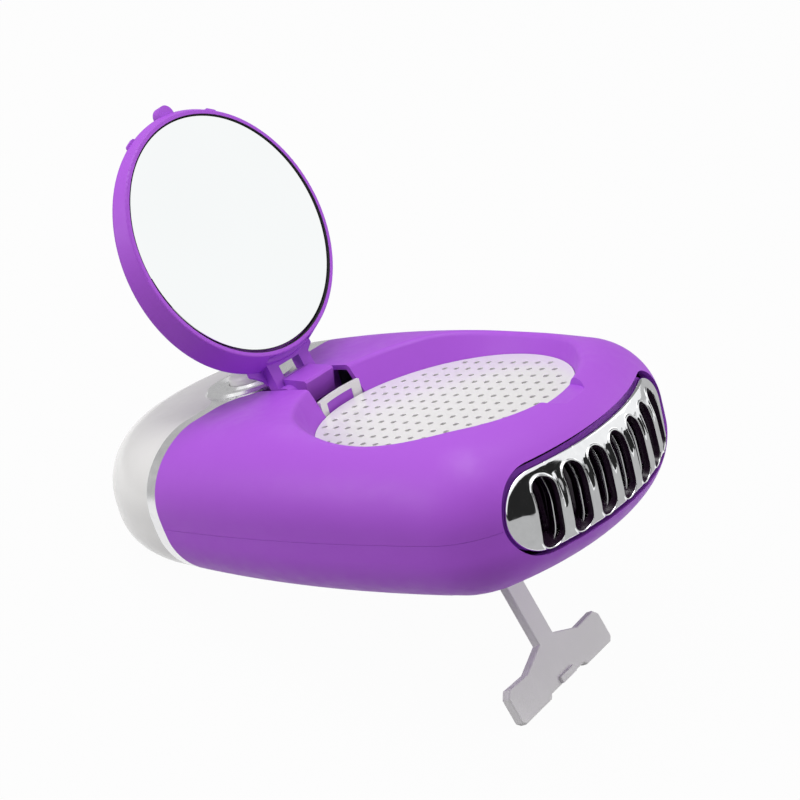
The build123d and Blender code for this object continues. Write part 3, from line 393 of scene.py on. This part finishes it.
SIDE_STEPS = 56
ROW_STEPS = 22
END_STEPS = 10
CAP_STEPS = 96
VANE_STEPS = 26
VANE_SIDES = 12
LIP_RINGS = (0.0, 0.01, 0.03, 0.06, 0.11, 0.16, 0.21, 0.26, 0.31, LIP_FOOT)
FIELD_SHARES = (0.15, 0.3, 0.45, 0.6, 0.7, 0.78, 0.85, 0.9, 0.94, 0.97, 0.99, 1.0)
OUTLINE_TOUCH = 0.02
WELD = 0.002

slot_centres = [SLOT_PITCH * (place - (SLOT_COUNT - 1) / 2) for place in range(SLOT_COUNT)]


def ease(value, low, high):
    """Zero below low, one above high, and a smooth step between."""
    t = min(max((value - low) / (high - low), 0.0), 1.0)
    return t * t * (3 - 2 * t)


def rounded_edge(distance, radius):
    """How far a rounded edge falls away at a distance from its outline."""
    if distance >= radius:
        return 0.0
    return radius - sqrt(max(radius**2 - (radius - max(distance, 0.0)) ** 2, 0.0))


def slot_line(centre, z):
    """The middle line of a slot at a height: its top leans a little towards the middle of the grille."""
    return centre * (1 - SLOT_FAN * (z - SLOT_Z + SLOT_HALF_HEIGHT) / (2 * SLOT_HALF_HEIGHT))


def slot_spine(z):
    """The height on a slot's middle line, between the centres of its round ends, nearest to a height."""
    return min(max(z - SLOT_Z, -SLOT_SPAN), SLOT_SPAN) + SLOT_Z


def slot_gap(y, z):
    """Distance from a point of the sheet to the outline of the nearest slot."""
    spine = slot_spine(z)
    nearest = min(hypot(y - slot_line(centre, spine), z - spine) for centre in slot_centres)
    return nearest - SLOT_HALF_WIDTH


def edge_gap(y, z):
    """Distance from a point of the sheet to the grille's own outline."""
    return GRILLE_HALF_HEIGHT - hypot(max(abs(y) - GRILLE_SPAN, 0.0), z - GRILLE_Z)


def grille_height(y, z):
    """Relief of the grille's front above the body's skin."""
    gap = max(slot_gap(y, z), 0.0)
    if gap < LIP_CREST:
        lip = LIP_HEIGHT * sqrt(1 - ((LIP_CREST - gap) / LIP_CREST) ** 2)
    else:
        lip = LIP_HEIGHT * (1 - ease(gap, LIP_CREST, LIP_FOOT))
    deep = ease(-z, -GROOVE_TOP, -GROOVE_DEEPEST) * (1 - ease(-z, -GROOVE_DEEPEST, -GROOVE_FOOT))
    inner = 1 - ease(abs(y), slot_centres[-1] + GROOVE_FADE, slot_centres[-1] + SLOT_PITCH / 2)
    groove = GROOVE_DEPTH * deep * inner * ease(gap, GROOVE_START, GROOVE_END)
    return GRILLE_PROUD + lip - groove - rounded_edge(edge_gap(y, z), GRILLE_EDGE)


def back_depth(y, z):
    """How far the grille's back lies under the body's skin: a plain sheet, with a skirt round its outline."""
    return SKIRT_DEPTH if edge_gap(y, z) < SKIRT_WIDTH else GRILLE_SHEET


def line(start, end, steps):
    """Points along a straight line, its far end left out."""
    return [
        tuple(near + (far - near) * step / steps for near, far in zip(start, end))
        for step in range(steps)
    ]


def cell_border(centre):
    """The border of one slot's share of the sheet, anticlockwise. The outer two take in the round ends."""
    if centre == slot_centres[0]:
        return [(-y, z) for y, z in reversed(cell_border(-centre))]
    left = centre - SLOT_PITCH / 2
    right = centre + SLOT_PITCH / 2
    if centre == slot_centres[-1]:
        points = line((left, GRILLE_LOW), (GRILLE_SPAN, GRILLE_LOW), END_STEPS)
        for step in range(CAP_STEPS):
            angle = -pi / 2 + pi * step / CAP_STEPS
            y = GRILLE_SPAN + GRILLE_HALF_HEIGHT * cos(angle)
            z = GRILLE_Z + GRILLE_HALF_HEIGHT * sin(angle)
            points.append((y, z))
        points += line((GRILLE_SPAN, GRILLE_HIGH), (left, GRILLE_HIGH), END_STEPS)
    else:
        points = line((left, GRILLE_LOW), (right, GRILLE_LOW), ROW_STEPS)
        points += line((right, GRILLE_LOW), (right, GRILLE_HIGH), SIDE_STEPS)
        points += line((right, GRILLE_HIGH), (left, GRILLE_HIGH), ROW_STEPS)
    return points + line((left, GRILLE_HIGH), (left, GRILLE_LOW), SIDE_STEPS)


def ring_distances(reach):
    """Steps from a slot's outline out to the cell's border, close together at both ends."""
    return [*LIP_RINGS, *(LIP_FOOT + (reach - LIP_FOOT) * share for share in FIELD_SHARES)]


def add_cell(sheet, centre):
    """One slot's share of the grille: its front relief, its back, the slot's wall in black painted shade and
    any outer edge.
    """
    border = cell_border(centre)
    front = []
    back = []
    for y, z in border:
        spine = slot_spine(z)
        middle = slot_line(centre, spine)
        away = hypot(y - middle, z - spine)
        step_y = (y - middle) / away
        step_z = (z - spine) / away
        front_row = []
        back_row = []
        for distance in ring_distances(away - SLOT_HALF_WIDTH):
            point_y = middle + step_y * (SLOT_HALF_WIDTH + distance)
            point_z = spine + step_z * (SLOT_HALF_WIDTH + distance)
            proud = grille_height(point_y, point_z)
            front_row.append(sheet.verts.new(front_skin(point_y, point_z, proud)))
            back_row.append(sheet.verts.new(front_skin(point_y, point_z, -back_depth(point_y, point_z))))
        front.append(front_row)
        back.append(back_row)
    for here in range(len(border)):
        after = (here + 1) % len(border)
        for ring in range(len(front[0]) - 1):
            sheet.faces.new((
                front[here][ring], front[here][ring + 1], front[after][ring + 1], front[after][ring],
            ))
            sheet.faces.new((
                back[after][ring], back[after][ring + 1], back[here][ring + 1], back[here][ring],
            ))
        wall = sheet.faces.new((front[after][0], back[after][0], back[here][0], front[here][0]))
        # The slot's wall takes the black material: painted shade
        wall.material_index = SLOT_WALL_SHADE
        middle_y = (border[here][0] + border[after][0]) / 2
        middle_z = (border[here][1] + border[after][1]) / 2
        if edge_gap(middle_y, middle_z) < OUTLINE_TOUCH:
            sheet.faces.new((front[here][-1], back[here][-1], back[after][-1], front[after][-1]))


def add_vane(sheet, centre):
    """An upright guide vane behind one slot, bowed, with a rounded front edge."""
    rings = []
    for step in range(VANE_STEPS + 1):
        share = 2 * step / VANE_STEPS - 1
        z = SLOT_Z + share * (SLOT_HALF_HEIGHT + VANE_OVERLAP)
        y = slot_line(centre, z) + VANE_SHIFT + VANE_BOW * (1 - share * share)
        ring = []
        for side in range(VANE_SIDES):
            angle = 2 * pi * side / VANE_SIDES
            depth = (VANE_FRONT + VANE_BACK) / 2 + (VANE_BACK - VANE_FRONT) / 2 * cos(angle)
            ring.append(sheet.verts.new(front_skin(y + VANE_HALF_THICKNESS * sin(angle), z, -depth)))
        rings.append(ring)
    join_rings(sheet, rings, closed=False)
    sheet.faces.new(rings[0])
    sheet.faces.new(rings[-1][::-1])


def grille_piece():
    """The whole grille as one closed sheet, creased where the slots' black walls of painted shade begin, and
    its guide vanes.
    """
    sheet = bmesh.new()
    for centre in slot_centres:
        add_cell(sheet, centre)
    bmesh.ops.remove_doubles(sheet, verts=sheet.verts, dist=WELD)
    for edge in sheet.edges:
        edge.smooth = len({face.material_index for face in edge.link_faces}) < 2
    for centre in slot_centres:
        add_vane(sheet, centre)
    return sheet


grille = new_piece("grille_sheet", grille_piece(), "casing", "chrome_plate")
# Second material: black plastic on the slots' walls, as painted shade
grille.data.materials.append(materials["black_plastic"])
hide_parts("outlet_grille")


# Ledge of the casing behind the gap round the grille

LEDGE_DEPTH = 1.75
LEDGE_THICKNESS = 0.4
LEDGE_OVERLAP = 0.08
GRILLE_TOP_GAP = 0.8
GRILLE_GAP = 0.3
LEDGE_STEPS = 240


def stadium_point(share, grow, lift):
    """A point of the grille's outline, grown and lifted, at a share of the way round it."""
    half_height = GRILLE_HALF_HEIGHT + grow
    straight = 2 * GRILLE_SPAN
    bend = pi * half_height
    along = share * 2 * (straight + bend)
    middle_z = GRILLE_Z + lift
    if along < straight:
        return (-GRILLE_SPAN + along, middle_z - half_height)
    if along < straight + bend:
        angle = -pi / 2 + (along - straight) / half_height
        return (GRILLE_SPAN + half_height * cos(angle), middle_z + half_height * sin(angle))
    if along < 2 * straight + bend:
        return (GRILLE_SPAN - (along - straight - bend), middle_z + half_height)
    angle = pi / 2 + (along - 2 * straight - bend) / half_height
    return (-GRILLE_SPAN + half_height * cos(angle), middle_z + half_height * sin(angle))


def ledge_piece():
    """A thin rib all round the opening, from the casing's wall in to the grille's side."""
    ledge = bmesh.new()
    outer_grow = (GRILLE_TOP_GAP + GRILLE_GAP) / 2 + LEDGE_OVERLAP
    outer_lift = (GRILLE_TOP_GAP - GRILLE_GAP) / 2
    ledge_back = LEDGE_DEPTH + LEDGE_THICKNESS
    rings = []
    for step in range(LEDGE_STEPS):
        outer = stadium_point(step / LEDGE_STEPS, outer_grow, outer_lift)
        inner = stadium_point(step / LEDGE_STEPS, -LEDGE_OVERLAP, 0)
        section = ((outer, LEDGE_DEPTH), (inner, LEDGE_DEPTH), (inner, ledge_back), (outer, ledge_back))
        rings.append([ledge.verts.new(front_skin(*place, -depth)) for place, depth in section])
    join_rings(ledge, rings)
    return ledge


new_piece("grille_ledge", ledge_piece(), "casing", "purple_plastic", smooth=False)


# Floor and the world's light

FLOOR_REACH = 3.0
FLOOR_GREY = 0.35
FLOOR_ROUGHNESS = 0.9
FLOOR_GLOW = 0.97
WORLD_PLAIN = 0.25
WORLD_SEEN = 1.0


def seen_straight(tree):
    """One where the camera, a mirror or glass looks straight at a surface, and zero for its plain light."""
    path = tree.nodes.new("ShaderNodeLightPath")
    seen = path.outputs["Is Camera Ray"]
    for ray in ("Is Glossy Ray", "Is Transmission Ray"):
        either = tree.nodes.new("ShaderNodeMath")
        either.operation = "MAXIMUM"
        tree.links.new(seen, either.inputs[0])
        tree.links.new(path.outputs[ray], either.inputs[1])
        seen = either.outputs["Value"]
    return seen


def emission(tree, level):
    """White light that a surface gives off."""
    glow = tree.nodes.new("ShaderNodeEmission")
    glow.inputs["Color"].default_value = (level, level, level, 1)
    return glow.outputs["Emission"]


floor_mesh = bpy.data.meshes.new("floor")
floor_corners = [(FLOOR_REACH * x, FLOOR_REACH * y, 0) for x, y in ((-1, -1), (1, -1), (1, 1), (-1, 1))]
floor_mesh.from_pydata(floor_corners, [], [(0, 1, 2, 3)])
floor = add_object("floor", floor_mesh)

floor_material, floor_tree, floor_shader = new_material("floor", (FLOOR_GREY,) * 3, FLOOR_ROUGHNESS)
floor.data.materials.append(floor_material)
glow_share = floor_tree.nodes.new("ShaderNodeMath")
glow_share.operation = "MULTIPLY"
glow_share.inputs[1].default_value = FLOOR_GLOW
floor_tree.links.new(seen_straight(floor_tree), glow_share.inputs[0])
blend = floor_tree.nodes.new("ShaderNodeMixShader")
floor_tree.links.new(glow_share.outputs["Value"], blend.inputs["Fac"])
floor_tree.links.new(floor_shader.outputs["BSDF"], blend.inputs[1])
floor_tree.links.new(emission(floor_tree, 1), blend.inputs[2])
floor_tree.links.new(blend.outputs["Shader"], floor_tree.nodes["Material Output"].inputs["Surface"])

world = bpy.data.worlds.new("studio")
bpy.context.scene.world = world
world.use_nodes = True
background = world.node_tree.nodes["Background"]
background.inputs["Color"].default_value = (1, 1, 1, 1)
strength = world.node_tree.nodes.new("ShaderNodeMapRange")
strength.inputs["To Min"].default_value = WORLD_PLAIN
strength.inputs["To Max"].default_value = WORLD_SEEN
world.node_tree.links.new(seen_straight(world.node_tree), strength.inputs["Value"])
world.node_tree.links.new(strength.outputs["Result"], background.inputs["Strength"])


# Cards that stand round the fan for its chrome to reflect

CARD_LIFT = 0.0005
CARD_START = 0.1
CARD_REACH = 0.45
CARD_STEPS = 24
HORIZON_TOP = 0.08


def card(name, bearings, heights, brightness, reaches=(CARD_REACH, CARD_REACH)):
    """A strip of studio that only reflections show: bearings in degrees, foot and head in metres."""
    start, end = bearings
    source = bmesh.new()
    pairs = []
    for step in range(CARD_STEPS + 1):
        bearing = radians(start + (end - start) * step / CARD_STEPS)
        pairs.append([
            source.verts.new((reach * cos(bearing), reach * sin(bearing), height))
            for reach, height in zip(reaches, heights)
        ])
    for before, after in zip(pairs, pairs[1:]):
        source.faces.new((before[0], after[0], after[1], before[1]))
    mesh = bpy.data.meshes.new(name)
    source.to_mesh(mesh)
    source.free()
    material = bpy.data.materials.new(name)
    material.use_nodes = True
    tree = material.node_tree
    tree.nodes.remove(tree.nodes["Principled BSDF"])
    tree.links.new(emission(tree, brightness), tree.nodes["Material Output"].inputs["Surface"])
    mesh.materials.append(material)
    strip = add_object(name, mesh)
    strip.visible_camera = False
    strip.visible_diffuse = False
    strip.visible_shadow = False
    strip.visible_transmission = False


card("card_floor", (0, 360), (CARD_LIFT, 2 * CARD_LIFT), brightness=0.5, reaches=(CARD_START, CARD_REACH))
card("card_horizon", (0, 360), (CARD_LIFT, HORIZON_TOP), brightness=0.5)
card("card_front", (-60, 14), (HORIZON_TOP, 0.6), brightness=0.02)
card("card_over", (14, 26), (0.3, 0.6), brightness=0.02)
card("card_side", (84, 112), (HORIZON_TOP, 0.7), brightness=0.28)
card("card_back", (112, 235), (HORIZON_TOP, 0.24), brightness=0.48)
card("card_left", (235, 300), (HORIZON_TOP, 0.14), brightness=0.05)


# Lamps

LAMP_AIM = Vector((0, 0, 0.05))


def lamp(name, place, size, power):
    """A soft square lamp aimed at the fan."""
    data = bpy.data.lights.new(name, "AREA")
    data.size = size
    data.energy = power
    light = add_object(name, data)
    light.location = place
    light.rotation_euler = (LAMP_AIM - Vector(place)).to_track_quat("-Z", "Y").to_euler()
    return light


lamp("key", (-0.15, -0.1, 0.85), size=0.6, power=5.2)
lamp("fill", (-0.58, -0.72, 0.35), size=0.5, power=3.2)
front_lamp = lamp("front", (0.8, 0.5, 0.4), size=0.8, power=3.8)
front_lamp.visible_glossy = False
lamp("rim", (0.1, 0.8, 0.6), size=0.5, power=0.6)


# Camera of the photograph, given in the body's own axes

CAMERA_AZIMUTH = radians(41.60)
CAMERA_ELEVATION = radians(17.65)
CAMERA_ROLL = radians(-15.27)
CAMERA_DISTANCE = 304.2
AIM_RIGHT = 7.65
AIM_UP = -0.68
CAMERA_LENS = 78.57
SENSOR_WIDTH = 36
NEAREST_SEEN = 0.01

back = Vector((
    sin(CAMERA_AZIMUTH) * cos(CAMERA_ELEVATION),
    -cos(CAMERA_AZIMUTH) * cos(CAMERA_ELEVATION),
    sin(CAMERA_ELEVATION),
))
level_right = Vector((cos(CAMERA_AZIMUTH), sin(CAMERA_AZIMUTH), 0))
level_up = back.cross(level_right)
right = level_right * cos(CAMERA_ROLL) + level_up * sin(CAMERA_ROLL)
up = level_up * cos(CAMERA_ROLL) - level_right * sin(CAMERA_ROLL)
eye = back * CAMERA_DISTANCE - right * AIM_RIGHT - up * AIM_UP
turn = standing.to_3x3()
camera_matrix = Matrix((turn @ right, turn @ up, turn @ back)).transposed().to_4x4()
camera_matrix.translation = body_axes @ eye
camera_data = bpy.data.cameras.new("camera")
camera_data.lens = CAMERA_LENS
camera_data.sensor_width = SENSOR_WIDTH
camera_data.clip_start = NEAREST_SEEN
camera = add_object("camera", camera_data)
camera.matrix_world = camera_matrix
bpy.context.scene.camera = camera

bpy.context.scene.view_settings.view_transform = "Standard"
